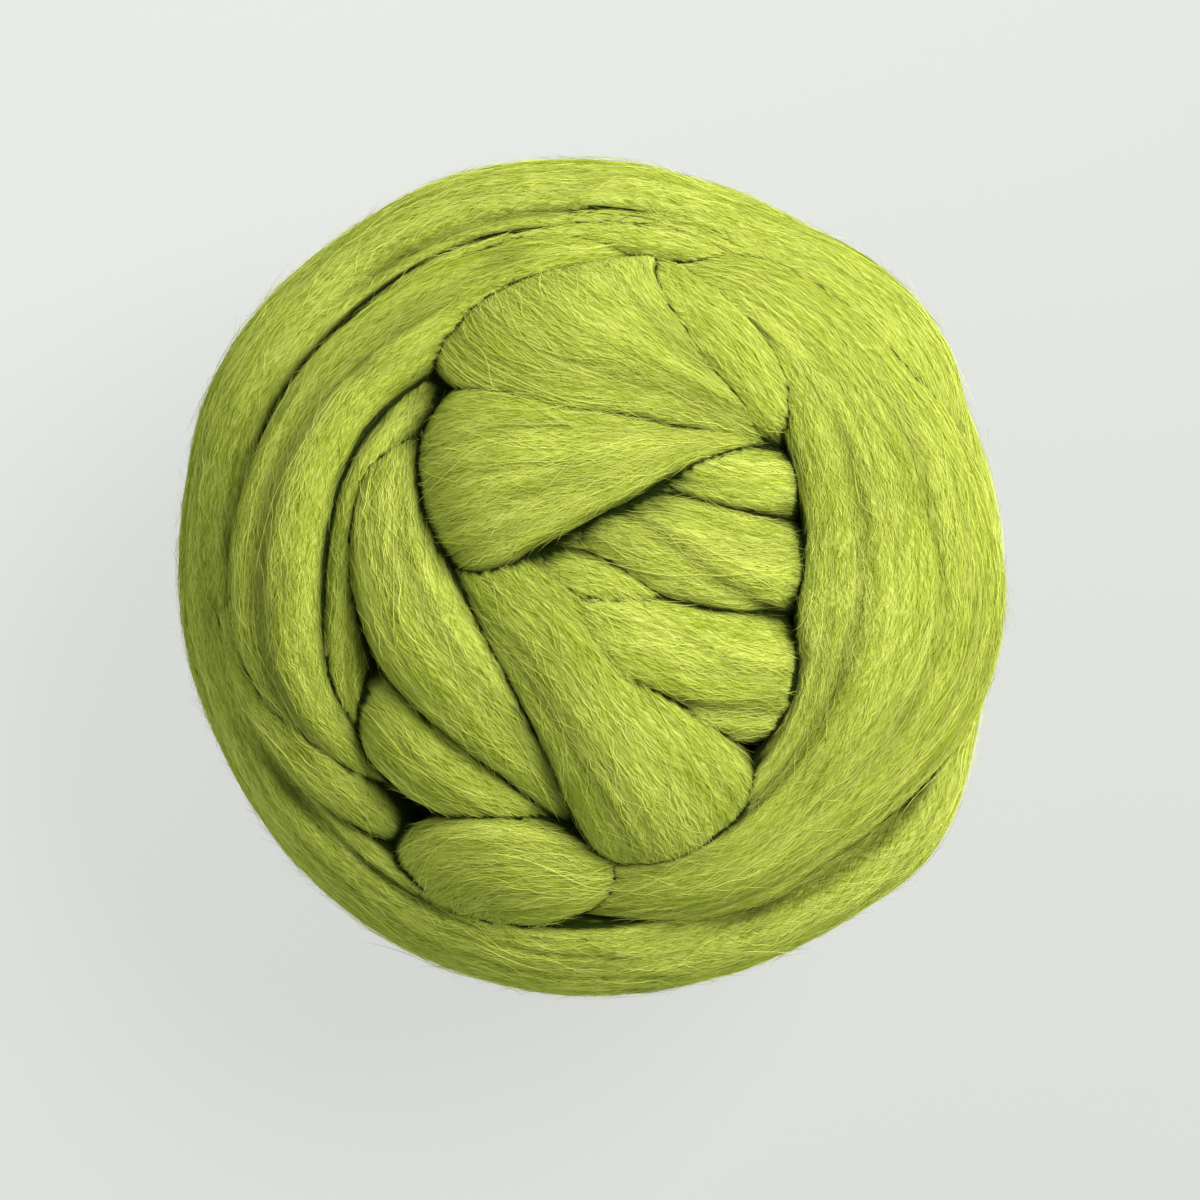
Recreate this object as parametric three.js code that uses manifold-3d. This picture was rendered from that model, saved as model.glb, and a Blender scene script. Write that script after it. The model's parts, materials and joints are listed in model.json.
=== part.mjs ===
// A soft strand of combed wool, wound by hand in a ball that lies on a small flat spot.
// Millimetres, +Z up. The origin is the middle of the flat spot, and +Y is the far side
// of the ball as it is seen from above.

import * as THREE from 'three';
import { mergeVertices } from 'three/addons/utils/BufferGeometryUtils.js';
import Module from 'manifold-3d';

const wasm = await Module();
wasm.setup();

// Driving dimensions. The turns lie on a slightly flattened round form.
const BALL_RADIUS = 75;
const BALL_HEIGHT = 118;
const MIDDLE_HEIGHT = BALL_HEIGHT / 2;

// The packed wool inside, which the outer turns cover.
const HEART_RADIUS = 64;
const HEART_TOP = 104;
const HEART_BOTTOM = 7;
const HEART_FACETS = 20;

// A wide turn bends across its width to lie on the ball.
const BEND_RADIUS = 67;

// Facets round a strand's section, the longest step along it, and the steps of a full turn.
const AROUND = 12;
const STEP = 8;
const LOOP_STEPS = 32;
const LOOP_ROWS = 20;

// A strand keeps its face turned outwards where the sine of its slope to the ball's radius
// is over the first figure, and carries its last direction on where it is under the second.
const FACE_FOLLOWS = 0.75;
const FACE_CARRIED = 0.35;

// Half the height over which a full turn sinks to where other turns cover it.
const SINKS_OVER = 12;

const WOOL_COLOUR = 0x9dbb3f;
const WOOL_ROUGHNESS = 0.95;
const WELD = 0.001;

const radians = THREE.MathUtils.degToRad;

// The ball's outer form, by its plan or by a direction from its middle.

function heightAt(x, y) {
  const inside = 1 - (x * x + y * y) / BALL_RADIUS ** 2;
  return MIDDLE_HEIGHT + MIDDLE_HEIGHT * Math.sqrt(Math.max(inside, 0));
}

function onBall(direction) {
  return new THREE.Vector3(
    BALL_RADIUS * direction.x,
    BALL_RADIUS * direction.y,
    MIDDLE_HEIGHT + MIDDLE_HEIGHT * direction.z,
  );
}

function outwards(point) {
  return new THREE.Vector3(
    point.x / BALL_RADIUS ** 2,
    point.y / BALL_RADIUS ** 2,
    (point.z - MIDDLE_HEIGHT) / MIDDLE_HEIGHT ** 2,
  ).normalize();
}

function raised(point, lift) {
  return point.addScaledVector(outwards(point), lift);
}

// The middle of a strand's section. A row gives it by x and y, or by turn (degrees round
// from +X) and fall (degrees down from the top), with its lift off the ball's form.
function middleOf(row) {
  if (row.middle) return row.middle;
  if (row.turn === undefined) {
    return new THREE.Vector3(row.x, row.y, heightAt(row.x, row.y) + row.lift);
  }
  const fall = radians(row.fall);
  const turn = radians(row.turn);
  const reach = Math.sin(fall);
  const direction = new THREE.Vector3(reach * Math.cos(turn), reach * Math.sin(turn), Math.cos(fall));
  return raised(onBall(direction), row.lift);
}

// The sections of a strand in order: where each is, which way it runs and faces, its size.
function sectionsOf(path, rows, steps) {
  const sizes = new THREE.CatmullRomCurve3(
    rows.map((row) => new THREE.Vector3(row.wide, row.thick, 0)),
    path.closed,
    'catmullrom',
  );
  const sections = [];
  for (let i = 0; i <= steps; i += 1) {
    const size = sizes.getPoint(i / steps);
    const middle = path.getPoint(i / steps);
    const along = path.getTangent(i / steps);
    sections.push({ middle, along, out: outwards(middle), wide: size.x, thick: size.y });
  }
  const start = Math.floor(steps / 2);
  faceSection(sections[start], null);
  for (let i = start + 1; i <= steps; i += 1) faceSection(sections[i], sections[i - 1]);
  for (let i = start - 1; i >= 0; i -= 1) faceSection(sections[i], sections[i + 1]);
  if (path.closed) sections[steps] = sections[0];
  return sections;
}

// Sets the two directions of a section's plane: across lies along the ball's form, and rise
// points out of it. Where the strand dives, across is carried on from its neighbour.
function faceSection(section, neighbour) {
  const { along, out } = section;
  const natural = new THREE.Vector3().crossVectors(along, out);
  const slope = natural.length();
  section.across = natural.normalize();
  if (neighbour) {
    const carried = neighbour.across.clone();
    carried.addScaledVector(along, -carried.dot(along)).normalize();
    const follows = THREE.MathUtils.smoothstep(slope, FACE_CARRIED, FACE_FOLLOWS);
    section.across = natural.dot(carried) > 0 ? carried.lerp(natural, follows).normalize() : carried;
  }
  section.rise = new THREE.Vector3().crossVectors(section.across, along);
}

// The point of a section at a share of its half width and half thickness, bent to the ball.
function pointOf(section, side, height) {
  const angle = (side * section.wide) / 2 / BEND_RADIUS;
  const radius = BEND_RADIUS + (height * section.thick) / 2;
  return section.middle
    .clone()
    .addScaledVector(section.across, radius * Math.sin(angle))
    .addScaledVector(section.rise, radius * Math.cos(angle) - BEND_RADIUS);
}

// A strand with oval sections, as a cylinder led along its rows.
function strand(rows, closed = false) {
  const middles = rows.map(middleOf);
  const path = new THREE.CatmullRomCurve3(middles, closed, 'catmullrom');
  const length = middles.slice(1).reduce((sum, point, i) => sum + point.distanceTo(middles[i]), 0);
  const steps = closed ? LOOP_STEPS : Math.ceil(length / STEP);
  const sections = sectionsOf(path, rows, steps);
  const geometry = new THREE.CylinderGeometry(1, 1, 1, AROUND, steps, closed);
  const place = geometry.attributes.position;
  for (let i = 0; i < place.count; i += 1) {
    const section = sections[Math.round((place.getY(i) + 0.5) * steps)];
    const point = pointOf(section, place.getX(i), place.getZ(i));
    place.setXYZ(i, point.x, point.y, point.z);
  }
  return solid(geometry);
}

// A full turn round the ball, in a plane whose axis is tipped by tilt degrees towards a
// bearing. It lies deep above the height named, where other turns cover it.
function fullTurn({ tilt, toward, fall, lift, deep, coveredFrom, wide, thick }) {
  const axis = new THREE.Vector3(0, 0, 1)
    .applyAxisAngle(new THREE.Vector3(0, 1, 0), radians(tilt))
    .applyAxisAngle(new THREE.Vector3(0, 0, 1), radians(toward));
  const side = new THREE.Vector3(-Math.sin(radians(toward)), Math.cos(radians(toward)), 0);
  const up = new THREE.Vector3().crossVectors(axis, side);
  const reach = Math.sin(radians(fall));
  const rows = [];
  for (let i = 0; i < LOOP_ROWS; i += 1) {
    const angle = (2 * Math.PI * i) / LOOP_ROWS;
    const direction = axis
      .clone()
      .multiplyScalar(Math.cos(radians(fall)))
      .addScaledVector(side, reach * Math.cos(angle))
      .addScaledVector(up, reach * Math.sin(angle));
    const point = onBall(direction);
    const covered = THREE.MathUtils.smoothstep(point.z, coveredFrom - SINKS_OVER, coveredFrom + SINKS_OVER);
    const middle = raised(point, THREE.MathUtils.lerp(lift, deep, covered));
    rows.push({ middle, wide, thick });
  }
  return strand(rows, true);
}

// Solids

function solid(geometry) {
  geometry.deleteAttribute('normal');
  geometry.deleteAttribute('uv');
  const merged = mergeVertices(geometry, WELD);
  return new wasm.Manifold(
    new wasm.Mesh({
      numProp: 3,
      vertProperties: new Float32Array(merged.attributes.position.array),
      triVerts: new Uint32Array(merged.index.array),
    }),
  );
}

function heart() {
  const height = HEART_TOP - HEART_BOTTOM;
  const form = new THREE.SphereGeometry(1, HEART_FACETS, HEART_FACETS / 2);
  form.rotateX(Math.PI / 2);
  form.scale(HEART_RADIUS, HEART_RADIUS, height / 2);
  form.translate(0, 0, HEART_BOTTOM + height / 2);
  return solid(form);
}

// The space under the surface that the ball lies on. Cutting it away flattens the lowest
// turns, which gives the flat spot.
function underSurface() {
  const block = new THREE.BoxGeometry(4 * BALL_RADIUS, 4 * BALL_RADIUS, BALL_HEIGHT);
  block.translate(0, 0, -BALL_HEIGHT / 2);
  return solid(block);
}

// The turns of the sides and the underside. The first lies highest, and the last ones are
// those that the others cross.
const UNDER_TURNS = [
  { tilt: 11, toward: 215, fall: 104, lift: -6, deep: -9, coveredFrom: 90, wide: 31, thick: 14 },
  { tilt: 17, toward: 60, fall: 127, lift: -8, deep: -9, coveredFrom: 90, wide: 29, thick: 14 },
  { tilt: 86, toward: 150, fall: 94, lift: -4, deep: -14, coveredFrom: 52, wide: 31, thick: 15 },
  { tilt: 70, toward: 40, fall: 98, lift: -5, deep: -14, coveredFrom: 52, wide: 30, thick: 14 },
  { tilt: 72, toward: 275, fall: 94, lift: -6.5, deep: -14, coveredFrom: 52, wide: 29, thick: 14 },
  { tilt: 60, toward: 165, fall: 92, lift: -8.5, deep: -14, coveredFrom: 52, wide: 31, thick: 14 },
  { tilt: 46, toward: 340, fall: 100, lift: -9.5, deep: -14, coveredFrom: 52, wide: 32, thick: 14 },
];

// The outermost turn, which makes the ball's rim all the way round.
const GIRDLE = [
  { turn: 0, fall: 80, lift: -6, wide: 32, thick: 13 },
  { turn: 18, fall: 78, lift: -7, wide: 32, thick: 13 },
  { turn: 34, fall: 76, lift: -3.6, wide: 33, thick: 14 },
  { turn: 47, fall: 76, lift: -4, wide: 33, thick: 14 },
  { turn: 60, fall: 76, lift: -6.5, wide: 33, thick: 14 },
  { turn: 84, fall: 76, lift: -5.6, wide: 34, thick: 14 },
  { turn: 108, fall: 76, lift: -4.2, wide: 34, thick: 14 },
  { turn: 128, fall: 77, lift: -4.6, wide: 34, thick: 14 },
  { turn: 146, fall: 77, lift: -4, wide: 34, thick: 14 },
  { turn: 163, fall: 78, lift: -5.6, wide: 34, thick: 14 },
  { turn: 188, fall: 79, lift: -7, wide: 34, thick: 14 },
  { turn: 215, fall: 78, lift: -7.2, wide: 34, thick: 14 },
  { turn: 240, fall: 77, lift: -6.2, wide: 34, thick: 14 },
  { turn: 265, fall: 76, lift: -5.4, wide: 34, thick: 14 },
  { turn: 290, fall: 76, lift: -4.4, wide: 33, thick: 14 },
  { turn: 312, fall: 77, lift: -2.4, wide: 32, thick: 14 },
  { turn: 325, fall: 78, lift: -1.8, wide: 31, thick: 14 },
  { turn: 342, fall: 80, lift: -6, wide: 31, thick: 13 },
];

// The turns that show from above, as a winder would lay them: each comes up out of the
// ball or from under a turn, crosses, and is drawn down again.
const TOP_TURNS = {
  // The turn above the girdle, from under the right-hand fan round the far and left sides.
  shoulder: [
    { turn: 44, fall: 66, lift: -15, wide: 14, thick: 10 },
    { turn: 62, fall: 64, lift: -9, wide: 20, thick: 12 },
    { turn: 84, fall: 61, lift: -8, wide: 24, thick: 12 },
    { turn: 105, fall: 60, lift: -8, wide: 26, thick: 12 },
    { turn: 125, fall: 58, lift: -8.5, wide: 27, thick: 12 },
    { turn: 145, fall: 58, lift: -8.5, wide: 27, thick: 12 },
    { turn: 165, fall: 60, lift: -9, wide: 26, thick: 12 },
    { turn: 185, fall: 62, lift: -9, wide: 25, thick: 12 },
    { turn: 205, fall: 62, lift: -8, wide: 25, thick: 12 },
    { turn: 225, fall: 60, lift: -8.5, wide: 26, thick: 12 },
    { turn: 245, fall: 62, lift: -8.5, wide: 25, thick: 12 },
    { turn: 265, fall: 62, lift: -8, wide: 22, thick: 12 },
    { turn: 283, fall: 65, lift: -10, wide: 20, thick: 11 },
    { turn: 300, fall: 68, lift: -15, wide: 14, thick: 10 },
  ],
  // The wide left-hand turn, which comes from under the top fan and dives at the near left.
  leftArc: [
    { x: 14, y: 57, lift: -18, wide: 10, thick: 9 },
    { x: 2, y: 58.5, lift: -10, wide: 12, thick: 11 },
    { x: -10, y: 57, lift: -8, wide: 15, thick: 12 },
    { x: -22, y: 51.5, lift: -7, wide: 18, thick: 13 },
    { x: -33, y: 43.5, lift: -6.5, wide: 19, thick: 13 },
    { x: -42.5, y: 33.5, lift: -6.5, wide: 19, thick: 13 },
    { x: -49.5, y: 21.5, lift: -6.5, wide: 19.5, thick: 14 },
    { x: -53.5, y: 9, lift: -6.5, wide: 20.5, thick: 14 },
    { x: -54.5, y: -4, lift: -6.5, wide: 21.5, thick: 14 },
    { x: -53, y: -16, lift: -7.5, wide: 22, thick: 14 },
    { x: -48.5, y: -26.5, lift: -10.5, wide: 18, thick: 13 },
    { x: -42, y: -34, lift: -16, wide: 13, thick: 10 },
    { x: -34.5, y: -38.5, lift: -26, wide: 9, thick: 8 },
  ],
  // Its inner edge, a narrow roll lower down beside it.
  leftInner: [
    { x: -2, y: 50, lift: -18, wide: 8, thick: 9 },
    { x: -14, y: 47, lift: -11, wide: 11, thick: 11 },
    { x: -25, y: 40, lift: -9.5, wide: 12, thick: 12 },
    { x: -34, y: 30.5, lift: -9.5, wide: 12, thick: 12 },
    { x: -40.5, y: 19.5, lift: -9, wide: 11, thick: 12 },
    { x: -43.5, y: 8, lift: -8.5, wide: 10, thick: 12 },
    { x: -44, y: -5, lift: -9, wide: 9.5, thick: 12 },
    { x: -43.5, y: -17, lift: -9.5, wide: 10, thick: 12 },
    { x: -41.5, y: -28, lift: -13, wide: 9, thick: 11 },
    { x: -37, y: -35.5, lift: -22, wide: 7, thick: 9 },
  ],
  // Its outer edge, which parts from it and ends in a dark lens of wool.
  leftTail: [
    { x: -60, y: 3, lift: -12, wide: 7, thick: 8 },
    { x: -59.5, y: -10, lift: -8, wide: 11, thick: 9 },
    { x: -56.5, y: -21, lift: -8, wide: 13, thick: 10 },
    { x: -50.5, y: -31, lift: -9, wide: 14, thick: 11 },
    { x: -43, y: -38, lift: -10.5, wide: 14, thick: 11 },
    { x: -36, y: -43, lift: -13, wide: 12, thick: 10 },
    { x: -29.5, y: -46.5, lift: -18, wide: 10, thick: 9 },
    { x: -23, y: -48, lift: -26, wide: 8, thick: 8 },
  ],
  // The broad right-hand turn, spread like a fan and drawn in at both of its ends.
  rightFan: [
    { turn: 104, fall: 53, lift: -16, wide: 5, thick: 7 },
    { turn: 90, fall: 54, lift: -10, wide: 8, thick: 8 },
    { turn: 76, fall: 55.5, lift: -7, wide: 13, thick: 10 },
    { turn: 62, fall: 55, lift: -6, wide: 20, thick: 12 },
    { turn: 49, fall: 53.5, lift: -5.5, wide: 29, thick: 13 },
    { turn: 36, fall: 52.7, lift: -5.5, wide: 38, thick: 14 },
    { turn: 22, fall: 53, lift: -5, wide: 46, thick: 15 },
    { turn: 8, fall: 54, lift: -4.5, wide: 53, thick: 16 },
    { turn: -6, fall: 54.7, lift: -4, wide: 57, thick: 17 },
    { turn: -20, fall: 54.3, lift: -4.5, wide: 53, thick: 16 },
    { turn: -34, fall: 53, lift: -6, wide: 42, thick: 15 },
    { turn: -48, fall: 51.8, lift: -6.5, wide: 30, thick: 14 },
    { turn: -62, fall: 51.3, lift: -6.5, wide: 22, thick: 12 },
    { turn: -75, fall: 51.7, lift: -7, wide: 16, thick: 10 },
    { turn: -87, fall: 53.5, lift: -9, wide: 9, thick: 8 },
    { turn: -98, fall: 55.5, lift: -15, wide: 5, thick: 6 },
  ],
  // The fan at the far side, which folds up over its own edge and narrows to the right.
  topFan: [
    { x: -12, y: 51, lift: -27, wide: 34, thick: 10 },
    { x: -13, y: 52, lift: -17, wide: 42, thick: 12 },
    { x: -9.5, y: 48.5, lift: -9, wide: 45, thick: 13 },
    { x: -3, y: 44, lift: -6.5, wide: 41, thick: 13 },
    { x: 5.5, y: 39.5, lift: -5.5, wide: 31, thick: 13 },
    { x: 14, y: 34.5, lift: -5.5, wide: 21, thick: 12 },
    { x: 22, y: 30, lift: -6, wide: 14, thick: 11 },
    { x: 29, y: 26, lift: -9, wide: 9, thick: 9 },
    { x: 34, y: 23.5, lift: -16, wide: 7, thick: 7 },
    { x: 36, y: 22, lift: -25, wide: 6, thick: 6 },
  ],
  topFanEdge: [
    { x: 8, y: 52, lift: -13, wide: 10, thick: 9 },
    { x: 15, y: 45.5, lift: -8, wide: 13, thick: 11 },
    { x: 22, y: 39.5, lift: -6, wide: 14, thick: 12 },
    { x: 27.5, y: 32.5, lift: -6.5, wide: 12.5, thick: 11 },
    { x: 31.5, y: 26, lift: -11, wide: 9, thick: 9 },
    { x: 34, y: 22, lift: -20, wide: 6, thick: 6 },
  ],
  // The bud in the middle: the strand comes up on the left, spreads, and tapers away.
  bud: [
    { x: -21, y: 13, lift: -28, wide: 24, thick: 12 },
    { x: -23.5, y: 14, lift: -17, wide: 31, thick: 14 },
    { x: -20.5, y: 16, lift: -8.5, wide: 34, thick: 15 },
    { x: -13.5, y: 18, lift: -5.5, wide: 31.5, thick: 15 },
    { x: -5, y: 19, lift: -5, wide: 24.5, thick: 14 },
    { x: 5, y: 20.5, lift: -4.5, wide: 16.5, thick: 12 },
    { x: 15, y: 22.3, lift: -5, wide: 9, thick: 8 },
    { x: 24, y: 22.5, lift: -7, wide: 5, thick: 6 },
    { x: 33, y: 22, lift: -13, wide: 4, thick: 5 },
  ],
  // Three short turns that run to the right, under the edge of the broad fan.
  rightUpper: [
    { x: -4, y: 14, lift: -18, wide: 7, thick: 8 },
    { x: 6, y: 15, lift: -12, wide: 9, thick: 10 },
    { x: 16, y: 15.7, lift: -9.5, wide: 12, thick: 11 },
    { x: 25, y: 15.5, lift: -9, wide: 13.5, thick: 12 },
    { x: 31, y: 15, lift: -13, wide: 13, thick: 11 },
    { x: 31.5, y: 15, lift: -22, wide: 12, thick: 10 },
    { x: 30, y: 15, lift: -32, wide: 10, thick: 9 },
  ],
  rightMiddle: [
    { x: -14, y: 3, lift: -18, wide: 6, thick: 8 },
    { x: -5, y: 4, lift: -11, wide: 9, thick: 10 },
    { x: 5, y: 5, lift: -8, wide: 14, thick: 12 },
    { x: 15, y: 3.2, lift: -7.5, wide: 18.5, thick: 14 },
    { x: 25, y: 1.5, lift: -8, wide: 18.5, thick: 14 },
    { x: 31, y: 1, lift: -13, wide: 17, thick: 13 },
    { x: 31.5, y: 1, lift: -22, wide: 15, thick: 11 },
    { x: 30, y: 1, lift: -32, wide: 12, thick: 10 },
  ],
  rightLower: [
    { x: -6, y: -7, lift: -15, wide: 6, thick: 8 },
    { x: 3, y: -9.5, lift: -9, wide: 10, thick: 10 },
    { x: 12, y: -13, lift: -8, wide: 14, thick: 12 },
    { x: 20, y: -15.5, lift: -8, wide: 18.5, thick: 13 },
    { x: 27, y: -16.5, lift: -9, wide: 20, thick: 13 },
    { x: 31.5, y: -16.5, lift: -14, wide: 19, thick: 12 },
    { x: 31, y: -17, lift: -23, wide: 16, thick: 11 },
    { x: 29, y: -17, lift: -33, wide: 12, thick: 10 },
  ],
  // A slip of wool between them and the diagonal.
  slip: [
    { x: -9, y: 0, lift: -13, wide: 5, thick: 7 },
    { x: -2, y: -2, lift: -8, wide: 7, thick: 8 },
    { x: 6, y: -4, lift: -6.5, wide: 7, thick: 8 },
    { x: 13, y: -6.7, lift: -7.5, wide: 4.5, thick: 6 },
    { x: 19, y: -9.5, lift: -12, wide: 3, thick: 5 },
  ],
  // The diagonal from the far left to the near right, folded in two layers.
  diagonalUnder: [
    { x: -30, y: 27, lift: -24, wide: 10, thick: 10 },
    { x: -32.5, y: 19, lift: -13, wide: 14, thick: 12 },
    { x: -33, y: 9, lift: -9.5, wide: 16, thick: 13 },
    { x: -31.5, y: -1, lift: -8.5, wide: 18.5, thick: 14 },
    { x: -27, y: -11, lift: -8.5, wide: 20, thick: 14 },
    { x: -19, y: -20.5, lift: -9.5, wide: 19, thick: 13 },
    { x: -10.5, y: -29.5, lift: -11, wide: 14, thick: 12 },
    { x: -4, y: -38, lift: -13, wide: 9, thick: 10 },
    { x: 1, y: -46, lift: -20, wide: 7, thick: 8 },
  ],
  diagonalOver: [
    { x: -30, y: 24, lift: -18, wide: 12, thick: 10 },
    { x: -24, y: 11, lift: -12, wide: 15, thick: 12 },
    { x: -15, y: -1, lift: -8.5, wide: 18, thick: 12 },
    { x: -6, y: -10.5, lift: -7, wide: 21, thick: 13 },
    { x: 1.5, y: -21.5, lift: -6.5, wide: 24, thick: 14 },
    { x: 9.5, y: -32.5, lift: -6, wide: 30, thick: 15 },
    { x: 14.5, y: -40, lift: -8, wide: 32, thick: 15 },
    { x: 16.5, y: -43.5, lift: -15, wide: 29, thick: 13 },
    { x: 15.5, y: -43.5, lift: -26, wide: 24, thick: 12 },
  ],
  // Two short rolls at the near left, which come up round-ended and run under the diagonal.
  nearRoll: [
    { x: -30, y: -23, lift: -28, wide: 13, thick: 10 },
    { x: -33.5, y: -21.5, lift: -19, wide: 15, thick: 12 },
    { x: -33, y: -23.5, lift: -11, wide: 17, thick: 13 },
    { x: -28.5, y: -29.5, lift: -9, wide: 16, thick: 13 },
    { x: -20.5, y: -35, lift: -9.5, wide: 13.5, thick: 12 },
    { x: -12, y: -39, lift: -11, wide: 10, thick: 10 },
    { x: -4, y: -42.5, lift: -13, wide: 6, thick: 7 },
    { x: 3, y: -46, lift: -18, wide: 4, thick: 5 },
  ],
  nearLobe: [
    { x: -21, y: -49.5, lift: -29, wide: 15, thick: 11 },
    { x: -26, y: -48.5, lift: -18, wide: 17, thick: 13 },
    { x: -24, y: -50.5, lift: -9.5, wide: 21, thick: 14 },
    { x: -17, y: -52.5, lift: -6.5, wide: 21.5, thick: 14 },
    { x: -9, y: -53.5, lift: -6, wide: 17, thick: 12 },
    { x: -1, y: -53.3, lift: -8, wide: 11, thick: 9 },
    { x: 5, y: -51.5, lift: -12, wide: 6, thick: 7 },
    { x: 12, y: -49, lift: -18, wide: 5, thick: 6 },
  ],
};

// The one solid: all turns joined to the heart and cut level. Pockets that the turns close
// off between them are filled, by keeping only the outer shell.
function windBall() {
  let ball = heart();
  for (const turn of UNDER_TURNS) ball = ball.add(fullTurn(turn));
  ball = ball.add(strand(GIRDLE, true));
  for (const rows of Object.values(TOP_TURNS)) ball = ball.add(strand(rows));
  const shells = ball.subtract(underSurface()).decompose();
  return shells.reduce((most, shell) => (shell.volume() > most.volume() ? shell : most));
}

const { vertProperties, triVerts } = windBall().getMesh();
const ballGeometry = new THREE.BufferGeometry();
ballGeometry.setAttribute('position', new THREE.BufferAttribute(vertProperties, 3));
ballGeometry.setIndex(new THREE.BufferAttribute(triVerts, 1));
ballGeometry.computeVertexNormals();

const wool = new THREE.MeshStandardMaterial({ color: WOOL_COLOUR, roughness: WOOL_ROUGHNESS, metalness: 0 });
const ball = new THREE.Mesh(ballGeometry, wool);
ball.name = 'wool_ball';

const roving = new THREE.Group();
roving.add(ball);

export default roving;
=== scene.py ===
"""A soft green strand of combed wool, wound by hand in a ball that lies on a pale floor.

Metres and degrees, +Z up, the origin in the middle of the flat spot under the ball.
"""

import json
import math

import bmesh
import bpy
import numpy as np
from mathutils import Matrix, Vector

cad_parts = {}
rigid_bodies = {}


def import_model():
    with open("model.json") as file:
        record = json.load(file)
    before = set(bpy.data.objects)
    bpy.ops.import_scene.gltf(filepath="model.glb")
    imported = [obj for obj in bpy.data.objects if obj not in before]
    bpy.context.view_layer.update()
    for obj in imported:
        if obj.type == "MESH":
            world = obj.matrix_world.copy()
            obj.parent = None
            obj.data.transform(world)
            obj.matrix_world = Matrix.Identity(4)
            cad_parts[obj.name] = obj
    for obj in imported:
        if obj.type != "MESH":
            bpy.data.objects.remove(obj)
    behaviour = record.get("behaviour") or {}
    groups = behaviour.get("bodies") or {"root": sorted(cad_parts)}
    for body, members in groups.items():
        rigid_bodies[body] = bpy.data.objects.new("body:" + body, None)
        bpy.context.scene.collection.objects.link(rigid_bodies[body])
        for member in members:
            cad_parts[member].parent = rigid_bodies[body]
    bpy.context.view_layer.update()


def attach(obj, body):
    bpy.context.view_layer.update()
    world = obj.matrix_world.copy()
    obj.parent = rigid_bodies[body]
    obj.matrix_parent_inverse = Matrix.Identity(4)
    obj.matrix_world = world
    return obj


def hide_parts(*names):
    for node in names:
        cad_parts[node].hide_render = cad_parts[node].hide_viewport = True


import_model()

# Driving dimensions. The turns lie on a slightly flattened round form.
BALL_RADIUS = 0.075
BALL_HEIGHT = 0.118
MIDDLE_HEIGHT = BALL_HEIGHT / 2
BEND_RADIUS = 0.067

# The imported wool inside.
HEART_RADIUS = 0.0635
HEART_TOP = 0.103
HEART_BOTTOM = 0.008
HEART_DENTS = 0.02
HEART_SEGMENTS = 96

# The camera looks straight down, and stands a little off the ball's middle.
CAMERA_PLACE = (0.00184, -0.00423, 0.700)
CAMERA_LENS = 104.5
CAMERA_SENSOR = 36.0

# The turns' own names for their maps and attributes.
BAKE_MAP = "OFBake"
GRAIN = "grain"
PLACE = "place"
TROUGH = "trough"
SHELTER = "shelter"
BREADTH = "breadth"
TONE = "tone"


def new_object(name, data):
    made = bpy.data.objects.new(name, data)
    bpy.context.scene.collection.objects.link(made)
    return made


# Camera

def look_straight_down():
    camera = bpy.data.cameras.new("camera")
    camera.lens = CAMERA_LENS
    camera.sensor_width = CAMERA_SENSOR
    camera.clip_start = 0.01
    camera_object = new_object("camera", camera)
    camera_object.location = CAMERA_PLACE
    bpy.context.scene.camera = camera_object


look_straight_down()


# Nodes

class Wire:
    """What a node's socket gives. Python's operators on it add Math nodes."""

    def __init__(self, nodes, socket):
        self.nodes = nodes
        self.socket = socket

    def __getitem__(self, name):
        """Another output of the same node."""
        return Wire(self.nodes, pick(self.socket.node.outputs, name))

    def __add__(self, other):
        return self.nodes.math("ADD", self, other)

    def __sub__(self, other):
        return self.nodes.math("SUBTRACT", self, other)

    def __rsub__(self, other):
        return self.nodes.math("SUBTRACT", other, self)

    def __mul__(self, other):
        return self.nodes.math("MULTIPLY", self, other)

    def __truediv__(self, other):
        return self.nodes.math("DIVIDE", self, other)

    def __pow__(self, other):
        return self.nodes.math("POWER", self, other)

    __radd__ = __add__


def pick(sockets, name):
    """The socket at an index, or the first one in use with that name or identifier."""
    if isinstance(name, int):
        return sockets[name]
    in_use = [s for s in sockets if s.enabled and not s.is_unavailable]
    return next(s for s in in_use if name in (s.name, s.identifier))


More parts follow.
